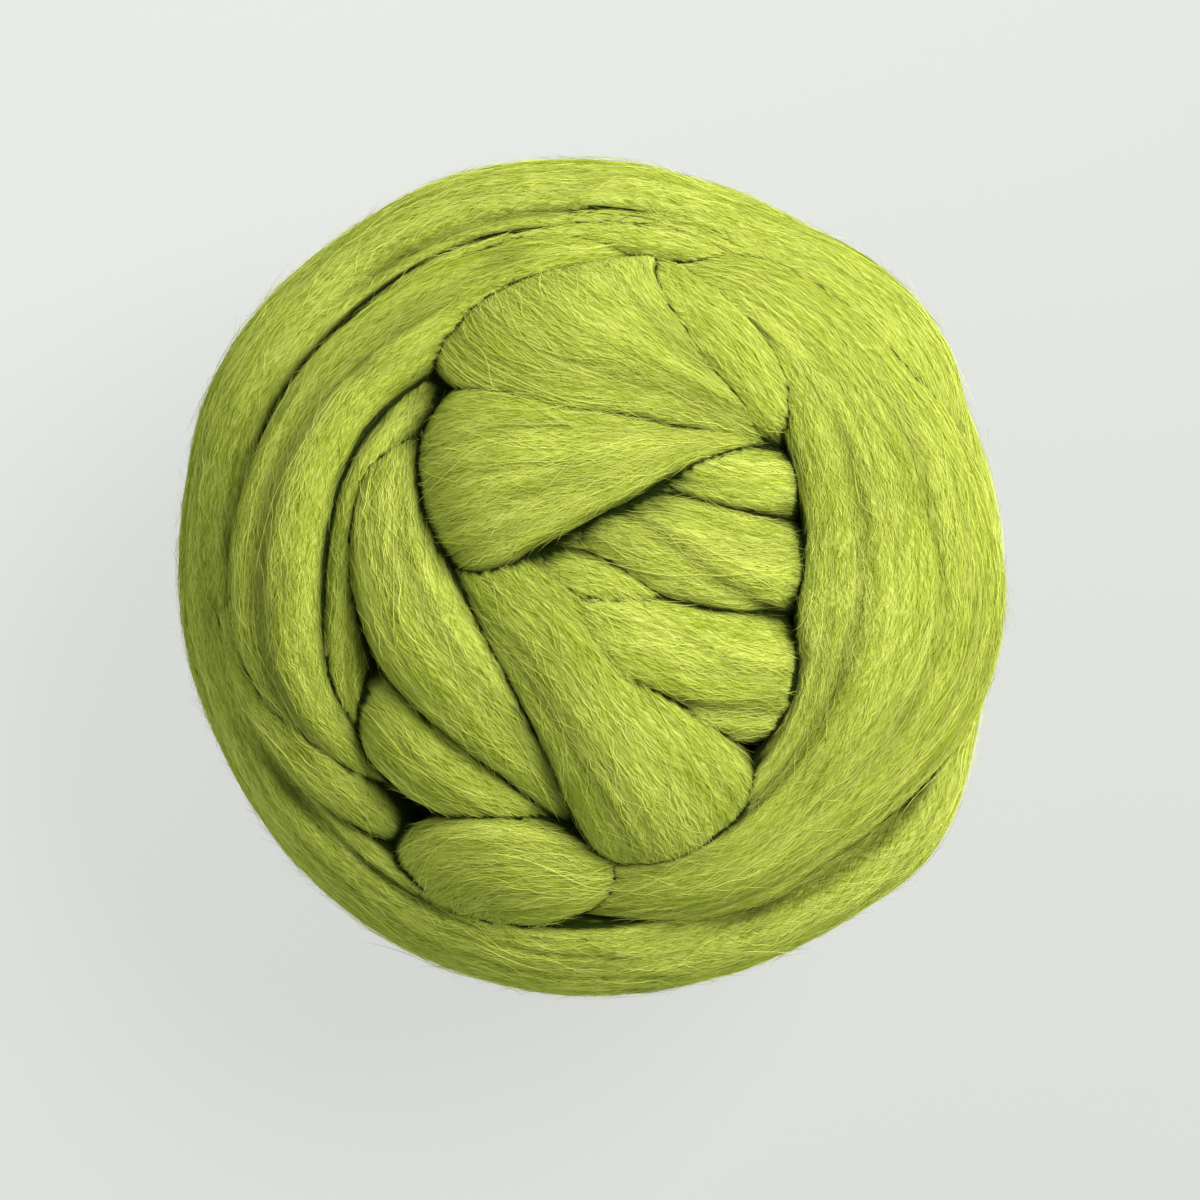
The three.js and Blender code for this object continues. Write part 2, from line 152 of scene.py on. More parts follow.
class Nodes:
    """Adds nodes to a shader's tree or to a geometry tree."""

    def __init__(self, tree):
        self.tree = tree

    def node(self, kind, settings=None, values=None, output=0):
        made = self.tree.nodes.new(kind)
        for name, setting in (settings or {}).items():
            setattr(made, name, setting)
        self.fill(made, values or {})
        return Wire(self, pick(made.outputs, output))

    def fill(self, node, values):
        """Links the node's inputs to wires, or sets them."""
        for name, value in values.items():
            socket = pick(node.inputs, name)
            if isinstance(value, Wire):
                self.tree.links.new(value.socket, socket)
            else:
                socket.default_value = value

    def math(self, operation, *values):
        return self.node("ShaderNodeMath", {"operation": operation}, dict(enumerate(values)))

    def vector(self, operation, *values, output=0):
        settings = {"operation": operation}
        return self.node("ShaderNodeVectorMath", settings, dict(enumerate(values)), output)

    def scaled(self, vector, share):
        values = {"Vector": vector, "Scale": share}
        return self.node("ShaderNodeVectorMath", {"operation": "SCALE"}, values)

    def summed(self, first, *others):
        for other in others:
            first = self.vector("ADD", first, other)
        return first

    def joined(self, x, y, z):
        return self.node("ShaderNodeCombineXYZ", {}, {"X": x, "Y": y, "Z": z})

    def parts(self, vector):
        x = self.node("ShaderNodeSeparateXYZ", {}, {0: vector})
        return x, x["Y"], x["Z"]

    def clamped(self, value, low=0.0, high=1.0):
        return self.node("ShaderNodeClamp", {}, {"Value": value, "Min": low, "Max": high})

    def ramped(self, value, start, end):
        """Smoothly from 0 to 1, as the value goes from start to end."""
        values = {"Value": value, "From Min": start, "From Max": end}
        return self.node("ShaderNodeMapRange", {"interpolation_type": "SMOOTHSTEP"}, values)

    def held_above(self, point, height):
        x, y, z = self.parts(point)
        return self.joined(x, y, self.math("MAXIMUM", z, height))

    def noise(self, grain, across, along, shift=0.0, detail=1.0):
        """Soft noise round 0, in waves so many metres long across the grain and along it."""
        pitch = (1 / across, 1 / along, 1 / along)
        waves = self.vector("ADD", self.vector("MULTIPLY", grain, pitch), (shift, shift, -shift))
        values = {"Vector": waves, "Scale": 1.0, "Detail": detail}
        return self.node("ShaderNodeTexNoise", {}, values) - 0.5


class ShapeNodes(Nodes):
    """A geometry tree with named inputs of these kinds and a material, used as a modifier."""

    def __init__(self, name, inputs):
        super().__init__(bpy.data.node_groups.new(name, "GeometryNodeTree"))
        self.tree.is_modifier = True
        interface = self.tree.interface
        interface.new_socket("Geometry", in_out="INPUT", socket_type="NodeSocketGeometry")
        interface.new_socket("Geometry", in_out="OUTPUT", socket_type="NodeSocketGeometry")
        for kind, labels in {**inputs, "Material": ["Material"]}.items():
            for label in labels:
                interface.new_socket(label, in_out="INPUT", socket_type="NodeSocket" + kind)
        group = self.tree.nodes.new("NodeGroupInput")
        self.given = {s.name: Wire(self, s) for s in group.outputs if s.name}

    def named(self, name, kind="FLOAT"):
        return self.node("GeometryNodeInputNamedAttribute", {"data_type": kind}, {"Name": name})

    def stored(self, geometry, name, value, kind="FLOAT", domain="POINT"):
        settings = {"data_type": kind, "domain": domain}
        values = {"Geometry": geometry, "Name": name, "Value": value}
        return self.node("GeometryNodeStoreNamedAttribute", settings, values)

    def through(self, geometry, kind, **values):
        """The geometry after one more node."""
        return self.node("GeometryNode" + kind, {}, {0: geometry, **values})

    def other_turns(self):
        """The bare turns in the collection given, as one mesh."""
        turns = self.node("GeometryNodeCollectionInfo", {}, {"Collection": self.given["Turns"]})
        return self.through(turns, "RealizeInstances")

    def finish(self, geometry):
        """Ends the tree with a plain mesh in its material."""
        geometry = self.through(geometry, "RealizeInstances")
        geometry = self.through(geometry, "SetMaterial", Material=self.given["Material"])
        output = self.tree.nodes.new("NodeGroupOutput")
        self.tree.links.new(geometry.socket, output.inputs[0])

    def grow(self, source, inputs, name):
        """A new object with the plain mesh that this tree makes from the source mesh."""
        grown = new_object(name, source)
        modifier = grown.modifiers.new(name, "NODES")
        modifier.node_group = self.tree
        for item in self.tree.interface.items_tree:
            if item.in_out == "INPUT" and item.name in inputs:
                modifier[item.identifier] = inputs[item.name]
        graph = bpy.context.evaluated_depsgraph_get()
        mesh = bpy.data.meshes.new_from_object(grown.evaluated_get(graph), depsgraph=graph)
        grown.modifiers.remove(modifier)
        mesh.name = name
        grown.data = mesh
        return grown


# Materials

def new_material(name):
    material = bpy.data.materials.new(name)
    material.use_nodes = True
    nodes = Nodes(material.node_tree)
    shader = material.node_tree.nodes["Principled BSDF"]
    return material, nodes, shader


def mixed(nodes, share, first, second):
    values = {"Factor": share, "A_Color": first, "B_Color": second}
    return nodes.node("ShaderNodeMix", {"data_type": "RGBA"}, values, "Result")


def attribute(nodes, name, output="Fac"):
    return nodes.node("ShaderNodeAttribute", {"attribute_name": name}, {}, output)


# The painted shade's dark green, for where the wool lies among the turns or in a trough.
PAINTED_SHADE_GREEN = (0.020, 0.036, 0.002, 1)
# The wool's tones. A turn's own surface is kept a deeper green than the hairs of its coat:
# painted shade in the gaps between the fibres.
WOOL_DEEP = (0.230, 0.310, 0.018, 1)
WOOL_MAIN = (0.430, 0.530, 0.055, 1)
WOOL_LIGHT = (0.680, 0.760, 0.160, 1)
HAIR_DEEP = (0.390, 0.490, 0.018, 1)
HAIR_LIGHT = (0.900, 0.960, 0.210, 1)

# Shelter at which the painted shade on the wool starts, and at which it is as dark as it
# gets. A trough adds its share of painted shade.
PAINTED_SHADE_STARTS = 0.04
PAINTED_SHADE_FULL = 0.50
TROUGH_SHADE_SHARE = 0.3

# Single fibres on a strand: their pitch across it and along it, and how far they sway.
FIBRE_PITCH = (0.00042, 0.0042)
FIBRE_SWAY = 0.0013
SWAY_PITCH = (0.0030, 0.0040)
FIBRE_WIDTH = 0.16
FIBRE_BUMP = {"Strength": 0.6, "Distance": 0.0003}

# Each layer of them: where its pattern starts, and how far it runs aslant.
FIBRE_LAYERS = ((2.3, 0.0), (13.1, 0.22), (27.7, -0.22))

# Locks and patches of another tone: their pitch across and along, and where they start.
LOCK_GRAIN = (0.0024, 0.035, 7.7)
PATCH_GRAIN = (0.011, 0.035, 1.3)

# What the fibres, the locks and the patches each add to the tone.
FIBRE_TONE = 0.42
LOCK_TONE = 0.5
PATCH_TONE = 0.4

WOOL_GLOSS = {
    "Roughness": 0.85,
    "Specular IOR Level": 0.10,
    "Sheen Weight": 0.08,
    "Sheen Roughness": 0.4,
    "Sheen Tint": (0.85, 0.95, 0.30, 1),
}


def with_painted_shade(nodes, colour):
    """The colour with painted shade where the wool lies among the turns or in a trough."""
    shelter = nodes.ramped(attribute(nodes, SHELTER), PAINTED_SHADE_STARTS, PAINTED_SHADE_FULL)
    depth = nodes.clamped(shelter + attribute(nodes, TROUGH) * TROUGH_SHADE_SHARE)
    return mixed(nodes, depth, colour, PAINTED_SHADE_GREEN)


def fibre_lines(nodes, grain, shift, slant):
    """Thin swaying lines along the grain: 1 on a line, 0 beside it."""
    sway = nodes.noise(grain, *SWAY_PITCH, shift)
    aslant = nodes.vector("DOT_PRODUCT", grain, (0, slant, slant), output="Value")
    moved = nodes.summed(grain, nodes.joined(sway * FIBRE_SWAY + aslant, 0, 0))
    field = nodes.noise(moved, *FIBRE_PITCH, shift + 4)
    return 1 - nodes.ramped(nodes.math("ABSOLUTE", field), 0.0, FIBRE_WIDTH)


def combed_wool():
    """Fine crimped fibres that run along the strand, with painted shade in its troughs and where
    other turns crowd it.
    """
    material, nodes, shader = new_material("combed_wool")
    grain = attribute(nodes, GRAIN, "Vector")
    layers = [fibre_lines(nodes, grain, *layer) for layer in FIBRE_LAYERS]
    hair = sum(layers[1:], layers[0]) * FIBRE_TONE
    lock = nodes.noise(grain, *LOCK_GRAIN, detail=2.0)
    patch = nodes.noise(grain, *PATCH_GRAIN, detail=2.0)
    light = nodes.clamped(hair + lock * LOCK_TONE + patch * PATCH_TONE)
    deep = mixed(nodes, nodes.clamped(light * 2), WOOL_DEEP, WOOL_MAIN)
    colour = with_painted_shade(nodes, mixed(nodes, nodes.clamped(light * 2 - 1), deep, WOOL_LIGHT))
    relief = nodes.node("ShaderNodeBump", {}, {**FIBRE_BUMP, "Height": hair})
    nodes.fill(shader, {**WOOL_GLOSS, "Base Color": colour, "Normal": relief})
    return material


def loose_hair():
    """Single fibres, each with a tone of its own, with painted shade where they lie among the
    turns.
    """
    material, nodes, shader = new_material("loose_hair")
    colour = with_painted_shade(nodes, mixed(nodes, attribute(nodes, TONE), HAIR_DEEP, HAIR_LIGHT))
    nodes.fill(shader, {**WOOL_GLOSS, "Base Color": colour})
    return material


# The floor is a light table: most of its paleness is its own glow. A painted falloff makes it
# a little darker to the near right, and a painted shadow under the ball makes it much darker,
# from the first radius out to the second.
FLOOR_GLOW = 5.4
FLOOR_FAR_LEFT = (0.1230, 0.1260, 0.1240, 1)
FLOOR_NEAR_RIGHT = (0.1090, 0.1116, 0.1070, 1)
FLOOR_FADE = 0.25
FLOOR_PAINTED_SHADOW = (0.0100, 0.0120, 0.0080, 1)
FLOOR_SHADOW_RADII = (0.030, 0.078)
FLOOR_ROUGHNESS = 0.8


def pale_board():
    material, nodes, shader = new_material("pale_board")
    x, y, _ = nodes.parts(nodes.node("ShaderNodeTexCoord", {}, {}, "Object"))
    fade = nodes.ramped(x - y, -FLOOR_FADE, FLOOR_FADE)
    open_board = mixed(nodes, fade, FLOOR_FAR_LEFT, FLOOR_NEAR_RIGHT)
    apart = nodes.math("SQRT", x * x + y * y)
    colour = mixed(nodes, nodes.ramped(apart, *FLOOR_SHADOW_RADII), FLOOR_PAINTED_SHADOW, open_board)
    nodes.fill(shader, {"Base Color": colour, "Roughness": FLOOR_ROUGHNESS})
    nodes.fill(shader, {"Emission Color": colour, "Emission Strength": FLOOR_GLOW})
    return material


# The strand's route. Rows are the points that it is led through.

# Full turns of the sides and the underside: tilt, bearing, fall, lift, lift where covered,
# the height above which it is covered, width, thickness.
UNDER_TURNS = [
    (11, 215, 104, -0.0060, -0.009, 0.090, 0.031, 0.014),
    (17, 60, 127, -0.0070, -0.009, 0.090, 0.029, 0.014),
    (86, 150, 94, -0.0058, -0.019, 0.038, 0.031, 0.015),
    (70, 40, 98, -0.0064, -0.019, 0.038, 0.030, 0.014),
    (72, 275, 94, -0.0072, -0.019, 0.038, 0.029, 0.014),
    (60, 165, 92, -0.0088, -0.019, 0.038, 0.031, 0.014),
    (46, 340, 100, -0.0095, -0.019, 0.038, 0.032, 0.014),
]

# Turns round the ball. Rows: degrees round from +X, degrees down from the top, lift off the
# ball's form, width, thickness.
GIRDLE = [
    (0, 80, -0.0060, 0.032, 0.013),
    (18, 78, -0.0070, 0.032, 0.013),
    (34, 76, -0.0036, 0.033, 0.014),
    (47, 76, -0.0040, 0.033, 0.014),
    (60, 76, -0.0065, 0.033, 0.014),
    (84, 76, -0.0056, 0.034, 0.014),
    (108, 76, -0.0042, 0.034, 0.014),
    (128, 77, -0.0046, 0.034, 0.014),
    (146, 77, -0.0040, 0.034, 0.014),
    (163, 78, -0.0056, 0.034, 0.014),
    (188, 79, -0.0070, 0.034, 0.014),
    (215, 78, -0.0072, 0.034, 0.014),
    (240, 77, -0.0062, 0.034, 0.014),
    (265, 76, -0.0054, 0.034, 0.014),
    (290, 76, -0.0044, 0.033, 0.014),
    (312, 77, -0.0024, 0.032, 0.014),
    (325, 78, -0.0018, 0.031, 0.014),
    (342, 80, -0.0060, 0.031, 0.013),
]

ROUND_TURNS = {
    "shoulder": [
        (44, 66, -0.0160, 0.014, 0.010),
        (62, 65.5, -0.0092, 0.023, 0.012),
        (84, 64.5, -0.0080, 0.023, 0.012),
        (105, 63, -0.0084, 0.021, 0.012),
        (125, 61.5, -0.0085, 0.0235, 0.012),
        (145, 59.5, -0.0088, 0.0255, 0.012),
        (165, 60, -0.0100, 0.026, 0.012),
        (185, 62, -0.0100, 0.025, 0.012),
        (205, 62, -0.0115, 0.024, 0.012),
        (225, 61, -0.0140, 0.022, 0.012),
        (245, 61, -0.0180, 0.018, 0.011),
        (262, 62, -0.0250, 0.012, 0.010),
    ],
    "right_fan": [
        (104, 53.0, -0.0230, 0.008, 0.007),
        (90, 54.0, -0.0165, 0.014, 0.008),
        (76, 55.0, -0.0115, 0.020, 0.010),
        (62, 54.6, -0.0078, 0.026, 0.012),
        (49, 53.4, -0.0060, 0.032, 0.013),
        (36, 52.7, -0.0055, 0.038, 0.014),
        (22, 53.0, -0.0050, 0.046, 0.015),
        (8, 54.0, -0.0045, 0.053, 0.016),
        (-6, 54.7, -0.0040, 0.057, 0.017),
        (-20, 54.3, -0.0045, 0.053, 0.016),
        (-34, 53.0, -0.0060, 0.042, 0.015),
        (-48, 51.8, -0.0065, 0.032, 0.014),
        (-62, 52.0, -0.0063, 0.0285, 0.013),
        (-75, 52.5, -0.0074, 0.0260, 0.012),
        (-87, 53.5, -0.0096, 0.0230, 0.011),
        (-98, 55.0, -0.0122, 0.0200, 0.010),
        (-109, 57.5, -0.0170, 0.0150, 0.009),
        (-119, 60.0, -0.0230, 0.0090, 0.007),
    ],
}

# Turns that cross the top. Rows: x, y, lift off the ball's form, width, thickness.
CROSSING_TURNS = {
    "left_arc": [
        (0.0125, 0.0512, -0.0235, 0.0090, 0.008),
        (0.0045, 0.0533, -0.0140, 0.0140, 0.010),
        (-0.0055, 0.0524, -0.0104, 0.0200, 0.011),
        (-0.0190, 0.0486, -0.0104, 0.0240, 0.012),
        (-0.0315, 0.0415, -0.0086, 0.0215, 0.013),
        (-0.0420, 0.0327, -0.0068, 0.0200, 0.013),
        (-0.0490, 0.0213, -0.0065, 0.0206, 0.014),
        (-0.0529, 0.0089, -0.0065, 0.0218, 0.014),
        (-0.0539, -0.0040, -0.0065, 0.0218, 0.014),
        (-0.0520, -0.0148, -0.0075, 0.0190, 0.014),
        (-0.0472, -0.0238, -0.0095, 0.0150, 0.013),
        (-0.0408, -0.0305, -0.0135, 0.0125, 0.012),
        (-0.0350, -0.0350, -0.0195, 0.0100, 0.010),
        (-0.0300, -0.0395, -0.0280, 0.0080, 0.008),
    ],
    "left_inner": [
        (-0.0100, 0.0440, -0.0250, 0.0100, 0.009),
        (-0.0185, 0.0405, -0.0195, 0.0140, 0.011),
        (-0.0265, 0.0345, -0.0155, 0.0165, 0.012),
        (-0.0334, 0.0268, -0.0135, 0.0168, 0.012),
        (-0.0386, 0.0175, -0.0124, 0.0164, 0.012),
        (-0.0415, 0.0065, -0.0120, 0.0160, 0.012),
        (-0.0427, -0.0060, -0.0121, 0.0152, 0.012),
        (-0.0424, -0.0170, -0.0130, 0.0140, 0.012),
        (-0.0402, -0.0260, -0.0152, 0.0122, 0.011),
        (-0.0372, -0.0325, -0.0190, 0.0100, 0.010),
        (-0.0335, -0.0380, -0.0260, 0.0080, 0.009),
    ],
    "left_tail": [
        (-0.0625, 0.0050, -0.0160, 0.0070, 0.008),
        (-0.0610, -0.0080, -0.0110, 0.0100, 0.009),
        (-0.0570, -0.0190, -0.0094, 0.0120, 0.010),
        (-0.0495, -0.0290, -0.0096, 0.0130, 0.011),
        (-0.0412, -0.0368, -0.0120, 0.0125, 0.011),
        (-0.0340, -0.0430, -0.0175, 0.0110, 0.010),
        (-0.0290, -0.0490, -0.0250, 0.0080, 0.008),
    ],
    "top_fan": [
        (-0.0064, 0.0460, -0.0250, 0.0340, 0.009),
        (-0.0088, 0.0480, -0.0124, 0.0420, 0.009),
        (-0.0072, 0.0463, -0.0057, 0.0440, 0.010),
        (-0.0030, 0.0428, -0.0038, 0.0415, 0.011),
        (0.0022, 0.0392, -0.0038, 0.0350, 0.012),
        (0.0098, 0.0350, -0.0043, 0.0250, 0.012),
        (0.0193, 0.0299, -0.0054, 0.0155, 0.011),
        (0.0278, 0.0250, -0.0086, 0.0085, 0.009),
        (0.0340, 0.0228, -0.0155, 0.0060, 0.007),
        (0.0365, 0.0220, -0.0250, 0.0050, 0.006),
    ],
    "top_fan_edge": [
        (0.0075, 0.0528, -0.0128, 0.0150, 0.009),
        (0.0145, 0.0456, -0.0080, 0.0180, 0.011),
        (0.0220, 0.0382, -0.0062, 0.0182, 0.012),
        (0.0280, 0.0312, -0.0062, 0.0150, 0.011),
        (0.0322, 0.0258, -0.0105, 0.0110, 0.009),
        (0.0345, 0.0222, -0.0195, 0.0070, 0.006),
    ],
    "right_base": [
        (-0.0200, 0.0080, -0.0230, 0.0140, 0.010),
        (-0.0100, 0.0072, -0.0155, 0.0220, 0.012),
        (0.0020, 0.0062, -0.0122, 0.0280, 0.013),
        (0.0140, 0.0045, -0.0116, 0.0320, 0.013),
        (0.0245, 0.0030, -0.0125, 0.0340, 0.013),
        (0.0315, 0.0025, -0.0185, 0.0340, 0.012),
        (0.0330, 0.0020, -0.0290, 0.0300, 0.010),
    ],
    "bud": [
        (-0.0210, 0.0130, -0.0280, 0.0240, 0.012),
        (-0.0235, 0.0140, -0.0170, 0.0310, 0.014),
        (-0.0205, 0.0160, -0.0085, 0.0340, 0.015),
        (-0.0135, 0.0180, -0.0055, 0.0315, 0.015),
        (-0.0050, 0.0188, -0.0050, 0.0240, 0.014),
        (0.0050, 0.0202, -0.0046, 0.0160, 0.012),
        (0.0150, 0.0220, -0.0052, 0.0090, 0.008),
        (0.0240, 0.0225, -0.0070, 0.0050, 0.006),
        (0.0330, 0.0220, -0.0130, 0.0040, 0.005),
    ],
    "right_upper": [
        (0.0000, 0.0200, -0.0200, 0.0110, 0.009),
        (0.0080, 0.0190, -0.0150, 0.0130, 0.011),
        (0.0165, 0.0172, -0.0108, 0.0140, 0.012),
        (0.0260, 0.0155, -0.0092, 0.0142, 0.012),
        (0.0342, 0.0148, -0.0125, 0.0140, 0.011),
        (0.0362, 0.0148, -0.0210, 0.0130, 0.010),
        (0.0348, 0.0148, -0.0310, 0.0110, 0.009),
    ],
    "right_middle": [
        (-0.0170, 0.0080, -0.0220, 0.0110, 0.009),
        (-0.0080, 0.0075, -0.0165, 0.0150, 0.011),
        (0.0030, 0.0068, -0.0118, 0.0180, 0.013),
        (0.0140, 0.0042, -0.0086, 0.0200, 0.014),
        (0.0255, 0.0018, -0.0080, 0.0190, 0.014),
        (0.0342, 0.0010, -0.0125, 0.0180, 0.013),
        (0.0362, 0.0010, -0.0215, 0.0160, 0.011),
        (0.0348, 0.0010, -0.0315, 0.0130, 0.010),
    ],
    "right_lower": [
        (-0.0110, -0.0020, -0.0150, 0.0120, 0.010),
        (-0.0012, -0.0078, -0.0092, 0.0185, 0.012),
        (0.0076, -0.0128, -0.0074, 0.0225, 0.013),
        (0.0168, -0.0160, -0.0070, 0.0240, 0.013),
        (0.0262, -0.0172, -0.0078, 0.0238, 0.013),
        (0.0330, -0.0176, -0.0128, 0.0225, 0.012),
        (0.0347, -0.0178, -0.0225, 0.0195, 0.011),
        (0.0325, -0.0170, -0.0330, 0.0135, 0.010),
    ],
    "slip": [
        (-0.0130, 0.0030, -0.0150, 0.0100, 0.008),
        (-0.0040, -0.0002, -0.0097, 0.0120, 0.010),
        (0.0055, -0.0036, -0.0082, 0.0120, 0.010),
        (0.0128, -0.0072, -0.0090, 0.0100, 0.008),
        (0.0195, -0.0112, -0.0150, 0.0070, 0.006),
    ],
    "diagonal_under": [
        (-0.0270, 0.0340, -0.0300, 0.0090, 0.009),
        (-0.0300, 0.0255, -0.0195, 0.0120, 0.011),
        (-0.0325, 0.0165, -0.0120, 0.0148, 0.012),
        (-0.0330, 0.0080, -0.0095, 0.0165, 0.013),
        (-0.0315, -0.0010, -0.0085, 0.0185, 0.014),
        (-0.0270, -0.0110, -0.0085, 0.0200, 0.014),
        (-0.0190, -0.0205, -0.0095, 0.0190, 0.013),
        (-0.0105, -0.0295, -0.0110, 0.0140, 0.012),
        (-0.0040, -0.0380, -0.0130, 0.0090, 0.010),
        (0.0010, -0.0460, -0.0200, 0.0070, 0.008),
    ],
    "diagonal_over": [
        (-0.0290, 0.0230, -0.0270, 0.0110, 0.010),
        (-0.0235, 0.0115, -0.0165, 0.0150, 0.012),
        (-0.0150, -0.0010, -0.0108, 0.0190, 0.012),
        (-0.0060, -0.0108, -0.0078, 0.0215, 0.013),
        (0.0015, -0.0215, -0.0065, 0.0240, 0.014),
        (0.0095, -0.0325, -0.0060, 0.0300, 0.015),
        (0.0145, -0.0400, -0.0080, 0.0320, 0.015),
        (0.0165, -0.0435, -0.0150, 0.0290, 0.013),
        (0.0155, -0.0435, -0.0260, 0.0240, 0.012),
    ],
    "near_roll": [
        (-0.0300, -0.0230, -0.0290, 0.0130, 0.010),
        (-0.0342, -0.0215, -0.0215, 0.0150, 0.012),
        (-0.0338, -0.0235, -0.0130, 0.0182, 0.013),
        (-0.0285, -0.0297, -0.0110, 0.0176, 0.013),
        (-0.0205, -0.0355, -0.0114, 0.0156, 0.012),
        (-0.0120, -0.0397, -0.0126, 0.0130, 0.011),
        (-0.0040, -0.0428, -0.0150, 0.0100, 0.009),
        (0.0040, -0.0455, -0.0200, 0.0070, 0.007),
    ],
    "near_lobe": [
        (-0.0205, -0.0520, -0.0320, 0.0200, 0.011),
        (-0.0228, -0.0552, -0.0210, 0.0260, 0.013),
        (-0.0212, -0.0540, -0.0130, 0.0300, 0.013),
        (-0.0166, -0.0518, -0.0102, 0.0305, 0.013),
        (-0.0104, -0.0514, -0.0092, 0.0275, 0.013),
        (-0.0036, -0.0512, -0.0096, 0.0215, 0.012),
        (0.0038, -0.0506, -0.0122, 0.0150, 0.010),
        (0.0115, -0.0494, -0.0195, 0.0090, 0.008),
    ],
}

# A strand's face follows the ball where the sine of its slope to the radius is over the first
# figure, and keeps its last direction where that is under the second.
FACE_FOLLOWS = 0.75
FACE_CARRIED = 0.35
FRAME_STEP = 0.008
LOOP_STEPS = 32
LOOP_ROWS = 20
SINKS_OVER = 0.012


def unit(vectors):
    return vectors / np.linalg.norm(vectors, axis=-1, keepdims=True)


def smoothstep(value, low, high):
    share = np.clip((value - low) / (high - low), 0, 1)
    return share * share * (3 - 2 * share)


def on_ball(direction):
    middle = np.array((0, 0, MIDDLE_HEIGHT))
    return direction * (BALL_RADIUS, BALL_RADIUS, MIDDLE_HEIGHT) + middle


def outwards(point):
    spans = np.array((BALL_RADIUS, BALL_RADIUS, MIDDLE_HEIGHT))
    return unit((point - (0, 0, MIDDLE_HEIGHT)) / spans**2)


def height_at(x, y):
    inside = 1 - (x * x + y * y) / BALL_RADIUS**2
    return MIDDLE_HEIGHT + MIDDLE_HEIGHT * math.sqrt(max(inside, 0))


def round_middle(row):
    turn, fall = math.radians(row[0]), math.radians(row[1])
    reach = math.sin(fall)
    direction = np.array((reach * math.cos(turn), reach * math.sin(turn), math.cos(fall)))
    point = on_ball(direction)
    return point + outwards(point) * row[2]


def crossing_middle(row):
    x, y, lift = row[:3]
    return np.array((x, y, height_at(x, y) + lift))


def full_turn(tilt, toward, fall, lift, deep, covered_from, wide, thick):
    """The middles and sizes of a full turn, in a plane whose axis is tipped by tilt degrees
    towards a bearing. It lies deep above the height named."""
    tilt, toward, fall = (math.radians(angle) for angle in (tilt, toward, fall))
    lean = math.sin(tilt)
    axis = np.array((lean * math.cos(toward), lean * math.sin(toward), math.cos(tilt)))
    side = np.array((-math.sin(toward), math.cos(toward), 0))
    up = np.cross(axis, side)
    angle = 2 * math.pi * np.arange(LOOP_ROWS)[:, None] / LOOP_ROWS
    ring = side * np.cos(angle) + up * np.sin(angle)
    point = on_ball(axis * math.cos(fall) + ring * math.sin(fall))
    covered = smoothstep(point[:, 2:], covered_from - SINKS_OVER, covered_from + SINKS_OVER)
    middles = point + outwards(point) * (lift + (deep - lift) * covered)
    return middles, np.tile((wide, thick), (LOOP_ROWS, 1))


def spline(rows, closed, shares):
    """Points and slopes of an even Catmull-Rom curve through the rows."""
    if closed:
        around = np.vstack([rows[-1:], rows, rows[:2]])
        spans = len(rows)
    else:
        around = np.vstack([2 * rows[:1] - rows[1:2], rows, 2 * rows[-1:] - rows[-2:-1]])
        spans = len(rows) - 1
    place = np.clip(shares * spans, 0, spans - 1e-9)
    first = place.astype(int)
    t = (place - first)[:, None]
    p0, p1, p2, p3 = (around[first + i] for i in range(4))
    slope = p2 - p0
    bend = 2 * p0 - 5 * p1 + 4 * p2 - p3
    twist = 3 * p1 - p0 - 3 * p2 + p3
    points = p1 + (slope * t + bend * t**2 + twist * t**3) / 2
    return points, (slope + 2 * bend * t + 3 * twist * t**2) / 2


def faces_across(middles, slopes):
    """For each section, the direction across the strand, level with the ball's form. Where the
    strand dives, it is carried on from its neighbour."""
    along = unit(slopes)
    natural = np.cross(along, outwards(middles))
    slope = np.linalg.norm(natural, axis=1)
    across = unit(natural)
    start = (len(middles) - 1) // 2
    forwards = [(i, i - 1) for i in range(start + 1, len(middles))]
    backwards = [(i, i + 1) for i in range(start - 1, -1, -1)]
    for i, neighbour in forwards + backwards:
        carried = across[neighbour]
        carried = unit(carried - along[i] * carried.dot(along[i]))
        follows = smoothstep(slope[i], FACE_CARRIED, FACE_FOLLOWS)
        if across[i].dot(carried) > 0:
            across[i] = unit(carried + (across[i] - carried) * follows)
        else:
            across[i] = carried
    return across


class Route:
    """A strand's route: an edge mesh with the strand's directions and sizes on its points."""

    SPACING = 0.001

    def __init__(self, name, middles, sizes, closed=False):
        length = np.linalg.norm(np.diff(middles, axis=0), axis=1).sum()
        steps = LOOP_STEPS if closed else math.ceil(length / FRAME_STEP)
        coarse = np.linspace(0, 1, steps + 1)
        across = faces_across(*spline(middles, closed, coarse))
        if closed:
            across = across[:-1]
        shares = np.linspace(0, 1, math.ceil(length / self.SPACING) + 1)
        points, slopes = spline(middles, closed, shares)
        along = unit(slopes)
        across = spline(across, closed, shares)[0]
        across = unit(across - along * (across * along).sum(axis=1, keepdims=True))
        sizes = spline(sizes, closed, shares)[0]
        steps_long = np.linalg.norm(np.diff(points, axis=0), axis=1)
        self.name = name
        self.closed = closed
        self.length = float(steps_long.sum())
        self.widest = float(sizes[:, 0].max())
        self.mesh = self.as_mesh(points, across, np.cross(across, along), sizes)

    def as_mesh(self, points, across, rise, sizes):
        mesh = bpy.data.meshes.new("route_" + self.name)
        edges = [(i, i + 1) for i in range(len(points) - 1)]
        mesh.from_pydata([tuple(point) for point in points], edges, [])
        layers = (
            ("across", "FLOAT_VECTOR", "vector", across),
            ("rise", "FLOAT_VECTOR", "vector", rise),
            ("wide", "FLOAT", "value", sizes[:, 0]),
            ("thick", "FLOAT", "value", sizes[:, 1]),
        )
        for name, kind, part, values in layers:
            data = mesh.attributes.new(name, kind, "POINT").data
            data.foreach_set(part, values.ravel())
        return mesh


